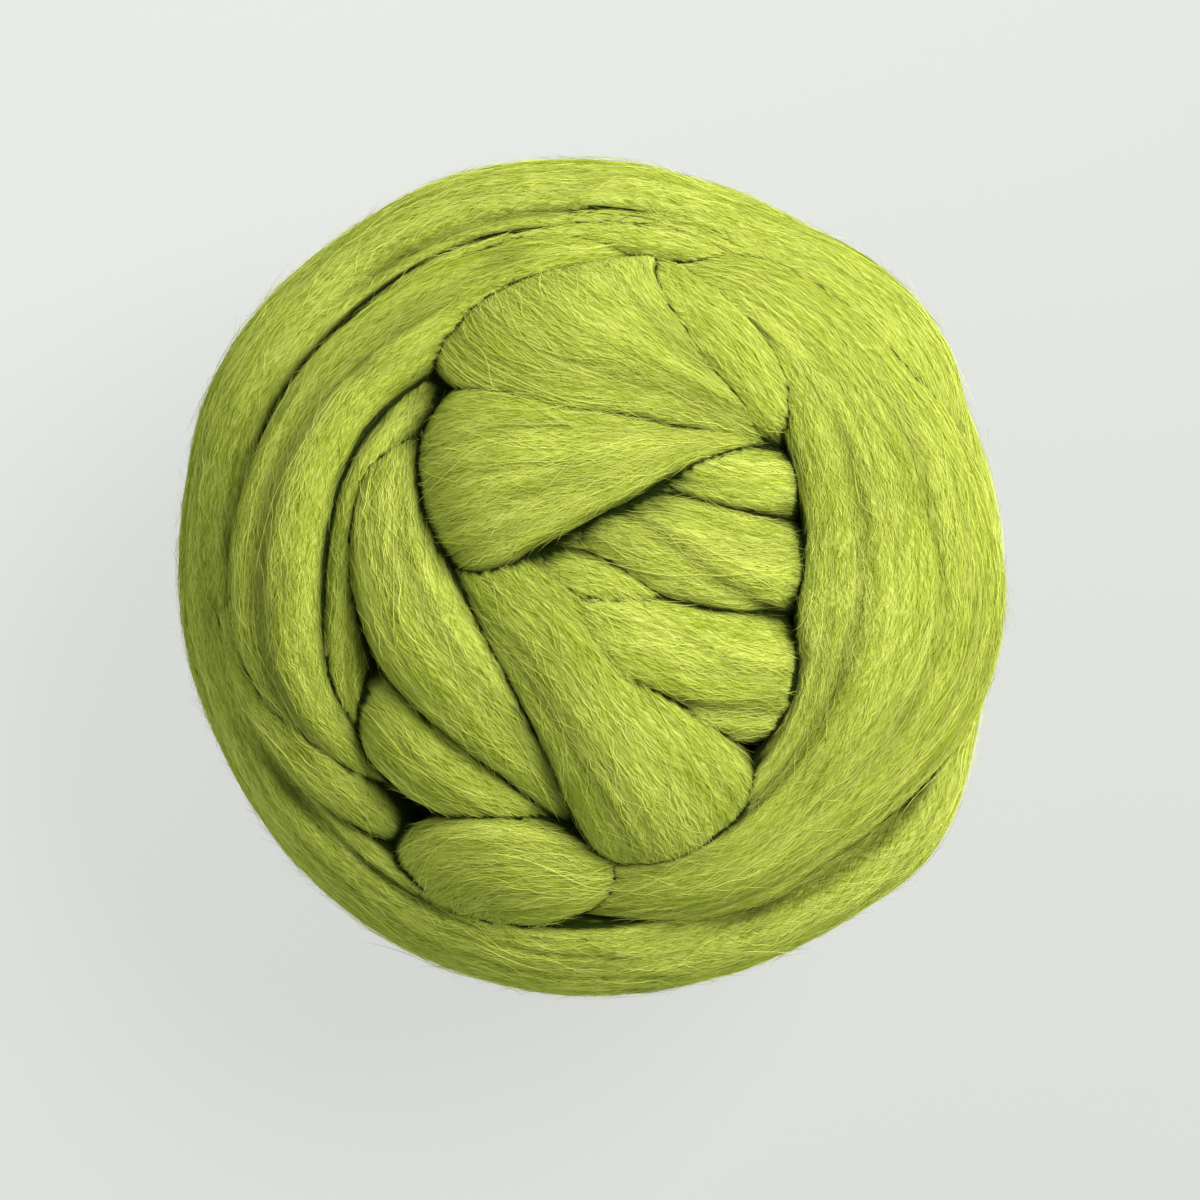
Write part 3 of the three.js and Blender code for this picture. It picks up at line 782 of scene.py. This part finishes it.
def all_routes():
    routes = []
    for number, row in enumerate(UNDER_TURNS, 1):
        routes.append(Route(f"under_{number}", *full_turn(*row), closed=True))
    round_turns = {"girdle": GIRDLE, **ROUND_TURNS}
    for turns, middle_of in ((round_turns, round_middle), (CROSSING_TURNS, crossing_middle)):
        for name, rows in turns.items():
            middles = np.array([middle_of(row) for row in rows])
            sizes = np.array([row[3:] for row in rows])
            routes.append(Route(name, middles, sizes, closed=rows is GIRDLE))
    return routes


# The strand's own shape

# Relief along the fibres: its pitch across them and along them, and its height.
SWELL = (0.0085, 0.110, 0.0006)
FURROW = (0.0062, 0.075, 0.00026)
RIPPLE = (0.0015, 0.030, 0.00012)
FURROW_WIDTH = 0.045

# A furrow's share of a full trough's painted shade, and the share of the relief that a
# gathered turn keeps.
FURROW_SHADE = 0.6
GATHERED_RELIEF = 0.3

# The relief fades out between these distances from a turn's end, and between these cosines
# round to its inner side.
CALM_NEAR = 0.009
CALM_FAR = 0.028
CALM_INSIDE = (-0.95, -0.45)

# How steeply a long crease starts and ends, and the shade that a metre of its depth gives.
CREASE_FADES = 6
CREASE_SHADE = 800

# Share of the section's points that are spread evenly. The rest crowd to its outer side.
EVEN_SHARE = 0.55

TROUGHS = 4
TROUGH_PARTS = ("start", "end", "from side", "to side", "depth", "width")
LAP = 2 * math.pi * BALL_RADIUS
END_ROUND = 0.006
MERGE_WITHIN = 0.00003

# Keeps a size off nought.
SPECK = 0.00001


def strand_tree():
    """Sweeps an oval section along a route, bends it to the ball, raises its ridges and sinks
    its troughs, rounds off its ends and presses it level at the floor."""
    floats = ["Length", "Widest", "Lap", "Closed", "Relief", "Floor", "Seed"]
    for number in range(1, TROUGHS + 1):
        floats += [f"Trough {number} {part}" for part in TROUGH_PARTS]
    nodes = ShapeNodes("strand", {"Int": ["Rows along", "Rows round"], "Float": floats})
    given = nodes.given

    curve = nodes.node("GeometryNodeMeshToCurve", {}, {"Mesh": given["Geometry"]})
    counts = {"Vertices X": given["Rows along"], "Vertices Y": given["Rows round"]}
    grid = nodes.node("GeometryNodeMeshGrid", {}, {"Size X": 1.0, "Size Y": 1.0, **counts})
    x, y, _ = nodes.parts(nodes.node("GeometryNodeInputPosition"))
    share = x + 0.5
    turned = y * 2
    angle = (turned * EVEN_SHARE + turned * turned * turned * (1 - EVEN_SHARE)) * math.pi

    def sampled(name, kind="FLOAT", output="Value"):
        values = {"Curves": curve, "Value": nodes.named(name, kind), "Factor": share}
        settings = {"mode": "FACTOR", "data_type": kind}
        return nodes.node("GeometryNodeSampleCurve", settings, values, output)

    middle = sampled("wide", output="Position")
    across = sampled("across", "FLOAT_VECTOR")
    rise = sampled("rise", "FLOAT_VECTOR")
    to_end = nodes.math("MINIMUM", share, 1 - share) * given["Length"]
    calm = nodes.math("MAXIMUM", nodes.ramped(to_end, CALM_NEAR, CALM_FAR), given["Closed"])
    inset = 1 - nodes.clamped(to_end / END_ROUND)
    rounded = nodes.math("MAXIMUM", nodes.math("SQRT", 1 - inset * inset), given["Closed"])
    wide = sampled("wide") * rounded + SPECK
    thick = sampled("thick") * rounded + SPECK

    # The grain: across the strand, and round a lap so that a closed turn has no seam.
    lane = angle / math.pi * given["Widest"]
    lap = share * given["Length"] / given["Lap"] * (2 * math.pi)
    round_lap = nodes.math("COSINE", lap) * BALL_RADIUS
    up_lap = nodes.math("SINE", lap) * BALL_RADIUS
    grain = nodes.joined(lane + given["Seed"], round_lap, up_lap)

    gathered = wide / given["Widest"]
    swell = nodes.noise(grain, *SWELL[:2])
    furrow = nodes.noise(grain, *FURROW[:2], 5.3)
    furrow = 1 - nodes.ramped(nodes.math("ABSOLUTE", furrow), 0.0, FURROW_WIDTH)
    ripple = nodes.noise(grain, *RIPPLE[:2], 2.9, detail=2.0)
    relief = swell * (2 * SWELL[2]) - furrow * FURROW[2] + ripple * (2 * RIPPLE[2])
    kept = gathered * (1 - GATHERED_RELIEF) + GATHERED_RELIEF
    relief = relief * kept * given["Relief"] * calm
    # The painted shade that the furrows and the long creases give, stored as the trough.
    trough = furrow * FURROW_SHADE * calm
    for number in range(1, TROUGHS + 1):
        parts = [given[f"Trough {number} {part}"] for part in TROUGH_PARTS]
        start, end, from_side, to_side, depth, breadth = parts
        run = (share - start) / (end - start + SPECK)
        fades = nodes.clamped(run * (1 - run) * CREASE_FADES)
        centre = from_side + (to_side - from_side) * run
        off = (angle / (math.pi / 2) - centre) * wide / 2 / (breadth + SPECK)
        dip = fades / (1 + off * off * off * off)
        relief = relief - dip * depth
        trough = trough + dip * nodes.clamped(depth * CREASE_SHADE)

    # The section's point, pushed out along the oval's own normal, then bent to the ball.
    sine, cosine = nodes.math("SINE", angle), nodes.math("COSINE", angle)
    lean_x, lean_y = sine * thick, cosine * wide
    lean = nodes.math("SQRT", lean_x * lean_x + lean_y * lean_y)
    relief = relief * rounded * nodes.ramped(cosine, *CALM_INSIDE)
    side = sine * wide / 2 + relief * lean_x / lean
    height = cosine * thick / 2 + relief * lean_y / lean
    bend = side / BEND_RADIUS
    radius = height + BEND_RADIUS
    level = radius * nodes.math("SINE", bend)
    raised = radius * nodes.math("COSINE", bend) - BEND_RADIUS
    point = nodes.summed(middle, nodes.scaled(across, level), nodes.scaled(rise, raised))
    point = nodes.held_above(point, given["Floor"])

    shape = nodes.stored(grid, BAKE_MAP, grid["UV Map"], "FLOAT2", "CORNER")
    shape = nodes.stored(shape, PLACE, nodes.joined(share, y + 0.5, 0), "FLOAT_VECTOR")
    shape = nodes.stored(shape, GRAIN, grain, "FLOAT_VECTOR")
    shape = nodes.stored(shape, TROUGH, nodes.clamped(trough))
    shape = nodes.stored(shape, BREADTH, wide)
    shape = nodes.through(shape, "SetPosition", Position=point)
    shape = nodes.through(shape, "MergeByDistance", Distance=MERGE_WITHIN)
    shape = nodes.through(shape, "FlipFaces")
    shape = nodes.through(shape, "SetShadeSmooth")
    nodes.finish(shape)
    return nodes


# Cells of a strand's mesh, across its outer side and along it.
CELL_ACROSS = 0.0008
CELL_ALONG = 0.0013
UNDER_COARSER = 1.8

# The outer side's length round the section, in widths, and its share of the section's rows.
OUTER_LENGTH = 1.15
OUTER_SHARE = 0.72

# What each turn's grain starts past the last one's, and how much higher it is pressed level, so
# that no two of them share a plane.
GRAIN_STEP = 0.2
LEVEL_STEP = 0.00001

# The long creases within a turn. Rows: where one starts and ends, in shares of the turn's
# length; its side there, from -1 to 1 across the turn; its depth and half its width.
LONG_CREASES = {
    "girdle": [
        (0.20, 0.38, -0.60, -0.74, 0.0016, 0.0012),
        (0.56, 0.70, -0.60, -0.68, 0.0016, 0.0013),
        (0.44, 0.58, 0.10, -0.10, 0.0008, 0.0011),
        (0.76, 0.98, -0.66, -0.66, 0.0050, 0.0036),
    ],
    "shoulder": [
        (0.12, 0.46, 0.15, -0.10, 0.0010, 0.0011),
        (0.40, 0.95, -0.34, -0.30, 0.0045, 0.0034),
    ],
    "right_fan": [
        (0.26, 0.82, 0.42, 0.60, 0.0014, 0.0010),
        (0.30, 0.75, 0.05, 0.12, 0.0007, 0.0012),
        (0.36, 0.85, -0.42, -0.30, 0.0008, 0.0012),
    ],
    "left_arc": [
        (0.18, 0.90, -0.10, 0.06, 0.0022, 0.0018),
        (0.45, 0.92, 0.45, 0.50, 0.0007, 0.0010),
    ],
    "top_fan": [
        (0.28, 0.92, 0.30, 0.25, 0.0008, 0.0013),
        (0.28, 0.88, -0.30, -0.35, 0.0006, 0.0012),
    ],
    "bud": [
        (0.30, 0.80, 0.35, 0.30, 0.0005, 0.0012),
        (0.30, 0.80, -0.30, -0.20, 0.0005, 0.0012),
    ],
    "right_middle": [(0.30, 0.72, -0.40, 0.76, 0.0010, 0.0009)],
    "right_lower": [(0.28, 0.70, 0.33, 0.27, 0.0010, 0.0009)],
    "diagonal_over": [(0.40, 0.90, 0.38, 0.42, 0.0004, 0.0012)],
    "diagonal_under": [(0.25, 0.85, -0.30, -0.10, 0.0007, 0.0011)],
}

# Turns whose relief is higher than the others'.
RELIEF = {"girdle": 1.8, "shoulder": 1.8, "left_arc": 1.5, "right_fan": 1.3}


def crease_inputs(name):
    inputs = {}
    for number, row in enumerate(LONG_CREASES.get(name, ()), 1):
        for part, value in zip(TROUGH_PARTS, row):
            inputs[f"Trough {number} {part}"] = value
    return inputs


def strand_inputs(route, number, material):
    coarser = UNDER_COARSER if route.name.startswith("under") else 1.0
    outer_rows = route.widest * OUTER_LENGTH / (CELL_ACROSS * coarser)
    return {
        **crease_inputs(route.name),
        "Rows along": math.ceil(route.length / (CELL_ALONG * coarser)) + 1,
        "Rows round": math.ceil(outer_rows / OUTER_SHARE) + 1,
        "Length": route.length,
        "Widest": route.widest,
        "Lap": route.length if route.closed else LAP,
        "Closed": 1.0 if route.closed else 0.0,
        "Relief": RELIEF.get(route.name, 1.0),
        "Floor": LEVEL_STEP * number,
        "Seed": GRAIN_STEP * number,
        "Material": material,
    }


# How deep each place lies among the turns, which sets its painted shade

SHELTER_REACH = 0.022
SHELTER_FROM = 0.0003


def shelter_directions():
    """Twelve directions spread evenly, the corners of a regular solid of twenty faces."""
    long = (1 + math.sqrt(5)) / 2
    corners = [(0, a, b * long) for a in (-1, 1) for b in (-1, 1)]
    turned = [(z, x, y) for x, y, z in corners] + [(y, z, x) for x, y, z in corners]
    return [tuple(Vector(corner).normalized()) for corner in corners + turned]


def shelter_tree():
    """Stores how much of what each point faces is shut off by wool close to it, for the painted
    shade.
    """
    nodes = ShapeNodes("shelter", {"Collection": ["Turns"], "Float": ["Reach"]})
    given = nodes.given
    turns = nodes.other_turns()
    here = nodes.node("GeometryNodeInputPosition")
    normal = nodes.node("GeometryNodeInputNormal")
    directions = shelter_directions()
    shut = 0
    for direction in directions:
        ray = nodes.vector("NORMALIZE", nodes.summed(normal, direction))
        values = {
            "Target Geometry": turns,
            "Source Position": nodes.summed(here, nodes.scaled(normal, SHELTER_FROM)),
            "Ray Direction": ray,
            "Ray Length": given["Reach"],
        }
        hit = nodes.node("GeometryNodeRaycast", {}, values, "Is Hit")
        shut = shut + hit * (1 - hit["Hit Distance"] / given["Reach"])
    share = nodes.clamped(shut / len(directions))
    nodes.finish(nodes.stored(given["Geometry"], SHELTER, share))
    return nodes


# The coat of fibres

# A fibre has a root where the wool faces outwards by this much, and where a ray out from this
# far above it meets no turn.
FACES_OUT = 0.05
OPEN_FROM = 0.0011
OPEN_REACH = 0.1

# Fibres of like tone lie in locks, so far apart across a turn and so long. A fibre's tone is its
# own share, its lock's share and a little more.
LOCK_PITCH = (0.0022, 0.0450)
OWN_TONE = 0.7
LOCKS_TONE = 1.2
MORE_TONE = 0.15

# How much of its own square of the map a fibre fills, with an edge all round.
SQUARE_FILL = 0.8
SQUARE_EDGE = 0.1

# The way round a section in widths, and the least one. Fibres keep to these shares of it and of
# the turn's length, and take their direction from a step ahead.
WAY_ROUND = 1.73
LEAST_ROUND = 0.001
KEEP_ROUND = (0.02, 0.98)
KEEP_ALONG = (0.004, 0.996)
STEP_AHEAD = 0.002

# A fibre's foot lies this deep. Past its flat part it curves up, and more so the looser it is.
FOOT_DEPTH = 0.00003
FLAT_PART = 0.05
CURVES_UP = 5
FIBRE_FLOOR = 0.0001


def coat_tree():
    """Lays single fibres on the part of a strand that no other turn covers."""
    floats = ["Closed", "Strand length", "Density", "Length", "Width", "Loft", "Arch", "Crimp"]
    floats += ["Waves", "Drift", "Tone from"]
    inputs = {"Collection": ["Turns"], "Int": ["Rows along", "Seed"], "Float": floats}
    nodes = ShapeNodes("fibre coat", inputs)
    given = nodes.given
    strand = given["Geometry"]

    def on_strand(value, share, turned, kind="FLOAT_VECTOR"):
        """A field's value at a place on the strand's surface."""
        values = {
            "Mesh": strand,
            "Value": value,
            "UV Map": nodes.named(BAKE_MAP, "FLOAT_VECTOR"),
            "Sample UV": nodes.joined(share, turned, 0),
        }
        return nodes.node("GeometryNodeSampleUVSurface", {"data_type": kind}, values, "Value")

    def chance(low, high, salt):
        values = {"Min": low, "Max": high, "Seed": given["Seed"] + salt}
        return nodes.node("FunctionNodeRandomValue", {"data_type": "FLOAT"}, values, "Value")

    here = nodes.node("GeometryNodeInputPosition")
    values = {"Mesh": strand, "Density": given["Density"], "Seed": given["Seed"]}
    points = nodes.node("GeometryNodeDistributePointsOnFaces", {}, values)

    # Roots that face inwards, or that another turn covers, are left out.
    place = nodes.vector("SUBTRACT", here, (0, 0, MIDDLE_HEIGHT))
    spans = (BALL_RADIUS**-2, BALL_RADIUS**-2, MIDDLE_HEIGHT**-2)
    out = nodes.vector("NORMALIZE", nodes.vector("MULTIPLY", place, spans))
    facing = nodes.vector("DOT_PRODUCT", points["Normal"], out, output="Value")
    values = {
        "Target Geometry": nodes.other_turns(),
        "Source Position": nodes.summed(here, nodes.scaled(out, OPEN_FROM)),
        "Ray Direction": out,
        "Ray Length": OPEN_REACH,
    }
    hit = nodes.node("GeometryNodeRaycast", {}, values, "Is Hit")
    hidden = nodes.math("MAXIMUM", hit, nodes.math("LESS_THAN", facing, FACES_OUT))
    values = {"Geometry": points, "Selection": hidden}
    points = nodes.node("GeometryNodeDeleteGeometry", {"domain": "POINT"}, values)

    # What chance gives each fibre.
    gifts = {
        TONE: (given["Tone from"], 1.0),
        "side": (-1.0, 1.0),
        "reach": (0.5, 1.5),
        "drift": (-1.0, 1.0),
        "phase": (0.0, 1.0),
        "waves": (0.5, 1.5),
        "loft": (0.0, 1.0),
        "twist": (-0.9, 0.9),
    }
    for salt, (name, (low, high)) in enumerate(gifts.items(), 1):
        points = nodes.stored(points, name, chance(low, high, salt))
    lock = nodes.noise(nodes.named(GRAIN, "FLOAT_VECTOR"), *LOCK_PITCH)
    tone = nodes.named(TONE) * OWN_TONE + lock * LOCKS_TONE + MORE_TONE
    points = nodes.stored(points, TONE, nodes.clamped(tone))
    points = nodes.stored(points, "cell", nodes.node("GeometryNodeInputIndex"))
    settings = {"component": "POINTCLOUD"}
    count = nodes.node("GeometryNodeAttributeDomainSize", settings, {"Geometry": points})
    cells = nodes.math("CEIL", nodes.math("SQRT", count + 1))
    points = nodes.through(points, "SetPosition", Position=(0, 0, 0))

    sizes = {"Size X": 1.0, "Size Y": 1.0, "Vertices X": given["Rows along"], "Vertices Y": 2}
    ribbon = nodes.node("GeometryNodeMeshGrid", {}, sizes)
    ribbon = nodes.stored(ribbon, BAKE_MAP, ribbon["UV Map"], "FLOAT2", "CORNER")
    fibres = nodes.through(points, "InstanceOnPoints", Instance=ribbon)
    fibres = nodes.through(fibres, "RealizeInstances")

    # Each fibre's own square of the map.
    cell = nodes.named("cell")
    column = nodes.math("MODULO", cell, cells)
    row = nodes.math("FLOOR", cell / cells)
    u, v, _ = nodes.parts(nodes.named(BAKE_MAP, "FLOAT_VECTOR"))
    u = (u * SQUARE_FILL + SQUARE_EDGE + column) / cells
    v = (v * SQUARE_FILL + SQUARE_EDGE + row) / cells
    fibres = nodes.stored(fibres, BAKE_MAP, nodes.joined(u, v, 0), "FLOAT2", "CORNER")

    # Where each point of a fibre lies on the strand.
    q, s, _ = nodes.parts(here)
    root_share, root_turned, _ = nodes.parts(nodes.named(PLACE, "FLOAT_VECTOR"))
    reach = nodes.named("reach") * given["Length"]
    share = root_share + q * reach / given["Strand length"]
    lapped = nodes.math("FRACT", share + 1)
    kept = nodes.clamped(share, *KEEP_ALONG)
    share = lapped * given["Closed"] + kept * (1 - given["Closed"])
    waves = nodes.named("waves") * given["Waves"]
    wave = nodes.math("SINE", (q * waves + nodes.named("phase")) * (2 * math.pi))
    sideways = q * nodes.named("drift") ** 3 * given["Drift"] + wave * given["Crimp"]
    moved = root_turned + sideways / (nodes.named(BREADTH) * WAY_ROUND + LEAST_ROUND)
    turned = nodes.clamped(moved, *KEEP_ROUND)
    # Each point of a fibre takes the shelter of the turn beneath it, for its painted shade.
    shelter = on_strand(nodes.named(SHELTER), share, turned, "FLOAT")
    fibres = nodes.stored(fibres, SHELTER, shelter)
    foot = on_strand(here, share, turned)
    ahead = on_strand(here, nodes.clamped(share + STEP_AHEAD, 0.0, 0.999), turned)
    normal = on_strand(nodes.node("GeometryNodeInputNormal"), share, turned)
    along = nodes.vector("NORMALIZE", nodes.vector("SUBTRACT", ahead, foot))
    across = nodes.vector("NORMALIZE", nodes.vector("CROSS_PRODUCT", normal, along))
    twist = nodes.named("twist")
    flat = nodes.summed(
        nodes.scaled(across, nodes.math("COSINE", twist)),
        nodes.scaled(normal, nodes.math("SINE", twist)),
    )
    slim = 1 - nodes.math("ABSOLUTE", q * 2) ** 3
    loft = nodes.named("loft")
    tip = nodes.math("MAXIMUM", q * nodes.math("SIGN", nodes.named("side")) - FLAT_PART, 0)
    arch = (1 - q * q * 4) * loft * given["Arch"] - FOOT_DEPTH
    lift = arch + loft ** 4 * tip * tip * CURVES_UP * given["Loft"]
    aside = nodes.scaled(flat, s * slim * given["Width"])
    point = nodes.held_above(nodes.summed(foot, nodes.scaled(normal, lift), aside), FIBRE_FLOOR)
    fibres = nodes.through(fibres, "SetPosition", Position=point)
    gone = [name for name in (*gifts, "cell", PLACE, BREADTH, GRAIN) if name != TONE]
    for name in gone:
        fibres = nodes.through(fibres, "RemoveAttribute", Name=name)
    nodes.finish(nodes.through(fibres, "SetShadeSmooth"))
    return nodes


COAT = {
    "Density": 1150000.0,
    "Rows along": 8,
    "Length": 0.0078,
    "Width": 0.00011,
    "Loft": 0.0022,
    "Arch": 0.00035,
    "Crimp": 0.00022,
    "Waves": 2.8,
    "Drift": 0.0065,
    "Tone from": 0.0,
}
UNDER_DENSITY = 180000.0
GIRDLE_DENSITY = 690000.0

# Long loose hairs that lie over the coat and stand off the ball.
# Their tone starts high: a painted highlight, as loose hairs catch the light.
STRAYS = {
    "Density": 26000.0,
    "Rows along": 15,
    "Length": 0.022,
    "Width": 0.00010,
    "Loft": 0.0035,
    "Arch": 0.0010,
    "Crimp": 0.0010,
    "Waves": 1.2,
    "Drift": 0.0100,
    "Tone from": 0.8,
}

# Seeds of the turns' coats lie this far apart, with the loose hairs' seeds between them.
COAT_SEEDS = 100
STRAYS_SEED = 50


def fit(piece):
    """Makes a finished piece part of the ball."""
    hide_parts("wool_ball")
    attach(piece, "root")


def make_turns(routes, material):
    """The bare turns in a collection, and the finished ones with their shelter stored."""
    strand, shelter = strand_tree(), shelter_tree()
    bare = bpy.data.collections.new("bare turns")
    for number, route in enumerate(routes, 1):
        inputs = strand_inputs(route, number, material)
        bare.objects.link(strand.grow(route.mesh, inputs, "bare_" + route.name))
    inputs = {"Turns": bare, "Reach": SHELTER_REACH, "Material": material}
    made = {}
    for turn in bare.objects:
        name = turn.name.removeprefix("bare_")
        made[name] = shelter.grow(turn.data, inputs, "turn_" + name)
    heart = shelter.grow(heart_mesh(), inputs, "heart")
    for piece in (*made.values(), heart):
        fit(piece)
    return made, bare


def make_coats(routes, made, bare, material):
    tree = coat_tree()
    for number, route in enumerate(routes, 1):
        inputs = {
            "Turns": bare,
            "Closed": 1.0 if route.closed else 0.0,
            "Strand length": route.length,
            "Seed": COAT_SEEDS * number,
            "Material": material,
        }
        coat = dict(COAT)
        if route.name.startswith("under"):
            coat["Density"] = UNDER_DENSITY
        elif route.name == "girdle":
            coat["Density"] = GIRDLE_DENSITY
        mesh = made[route.name].data
        fit(tree.grow(mesh, {**inputs, **coat}, "coat_" + route.name))
        inputs["Seed"] += STRAYS_SEED
        fit(tree.grow(mesh, {**inputs, **STRAYS}, "strays_" + route.name))


def heart_mesh():
    """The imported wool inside, which shows only as depth between the turns."""
    form = bmesh.new()
    segments = {"u_segments": HEART_SEGMENTS, "v_segments": HEART_SEGMENTS // 2}
    bmesh.ops.create_uvsphere(form, radius=1, **segments)
    half = (HEART_TOP - HEART_BOTTOM) / 2
    for vertex in form.verts:
        x, y, z = vertex.co
        dent = 1 - HEART_DENTS * math.sin(7 * x + 3 * z) * math.sin(6 * y - 2 * z)
        height = HEART_BOTTOM + half * (1 + z * dent)
        vertex.co = (x * HEART_RADIUS * dent, y * HEART_RADIUS * dent, height)
    mesh = bpy.data.meshes.new("heart form")
    form.to_mesh(mesh)
    form.free()
    mesh.shade_smooth()
    return mesh


def make_ball():
    wool, hair = combed_wool(), loose_hair()
    routes = all_routes()
    made, bare = make_turns(routes, wool)
    make_coats(routes, made, bare, hair)
    for turn in list(bare.objects):
        bpy.data.objects.remove(turn)
    bpy.data.collections.remove(bare)


# Floor and light

FLOOR_SIDE = 4.0

WORLD_COLOUR = (0.94, 1.0, 0.91, 1)
WORLD_STRENGTH = 0.35

# The one lamp stands high on the right, a little to the far side.
KEY_PLACE = (0.86, 0.58, 1.20)
KEY_SIDE = 0.9
KEY_WATTS = 27
KEY_COLOUR = (1.0, 0.99, 0.95)


def make_floor():
    half = FLOOR_SIDE / 2
    corners = [(-half, -half, 0), (half, -half, 0), (half, half, 0), (-half, half, 0)]
    mesh = bpy.data.meshes.new("floor")
    mesh.from_pydata(corners, [], [(0, 1, 2, 3)])
    mesh.materials.append(pale_board())
    floor = new_object("floor", mesh)


def add_key_lamp():
    """A square soft lamp, turned to the ball's middle."""
    lamp = bpy.data.lights.new("key", "AREA")
    lamp.shape = "SQUARE"
    lamp.size = KEY_SIDE
    lamp.energy = KEY_WATTS
    lamp.color = KEY_COLOUR
    lamp_object = new_object("key", lamp)
    lamp_object.location = KEY_PLACE
    aim = Vector((0, 0, MIDDLE_HEIGHT)) - Vector(KEY_PLACE)
    lamp_object.rotation_euler = aim.to_track_quat("-Z", "Y").to_euler()


def light_softly():
    world = bpy.data.worlds.new("soft_room")
    world.use_nodes = True
    background = world.node_tree.nodes["Background"]
    background.inputs["Color"].default_value = WORLD_COLOUR
    background.inputs["Strength"].default_value = WORLD_STRENGTH
    bpy.context.scene.world = world
    add_key_lamp()
    bpy.context.scene.view_settings.view_transform = "Standard"


make_ball()
make_floor()
light_softly()
